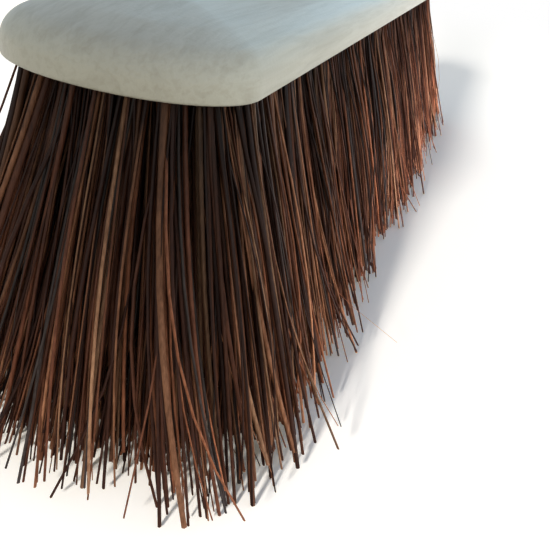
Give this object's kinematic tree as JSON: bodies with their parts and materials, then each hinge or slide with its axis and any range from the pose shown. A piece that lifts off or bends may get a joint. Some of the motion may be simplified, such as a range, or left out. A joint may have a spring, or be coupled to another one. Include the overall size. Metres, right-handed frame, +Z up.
{
  "type": "wide floor broom",
  "caption": "Wide floor broom: painted wooden stock with bowed ends, stiff dark fibre, and a wooden handle clamped in a slanted steel holder.",
  "frame": {"origin": "on the floor, under the middle of the stock, on the cut tip of the middle tuft", "axes": "+X along the stock, +Y to the side the handle leans to, +Z up"},
  "size_m": [0.5321, 0.7658, 1.3455],
  "materials": {
    "painted_wood": "satin",
    "plant_fibre": "matte",
    "zinc_steel": "satin",
    "handle_wood": "satin"
  },
  "bodies": {
    "head": {"stock": "painted_wood", "fibre_field_front": "plant_fibre", "fibre_field_middle": "plant_fibre", "fibre_field_back": "plant_fibre", "handle_holder": "zinc_steel", "holder_screw_1": "zinc_steel", "holder_screw_2": "zinc_steel", "holder_screw_3": "zinc_steel", "holder_screw_4": "zinc_steel", "clamp_nut": "zinc_steel"},
    "wing_screw_body": {"wing_screw": "zinc_steel"},
    "handle_body": {"handle": "handle_wood"}
  },
  "joints": [
    {"name": "handle_slide", "type": "slide", "parent": "head", "child": "handle_body", "axis": [0, 0.5, 0.866], "range_m": [0, 0.07]},
    {"name": "wing_screw_turn", "type": "hinge", "parent": "head", "child": "wing_screw_body", "pos_m": [0, 0.025, 0.16839], "axis": [0, -0.866, 0.5], "range_deg": [0, 810]}
  ]
}
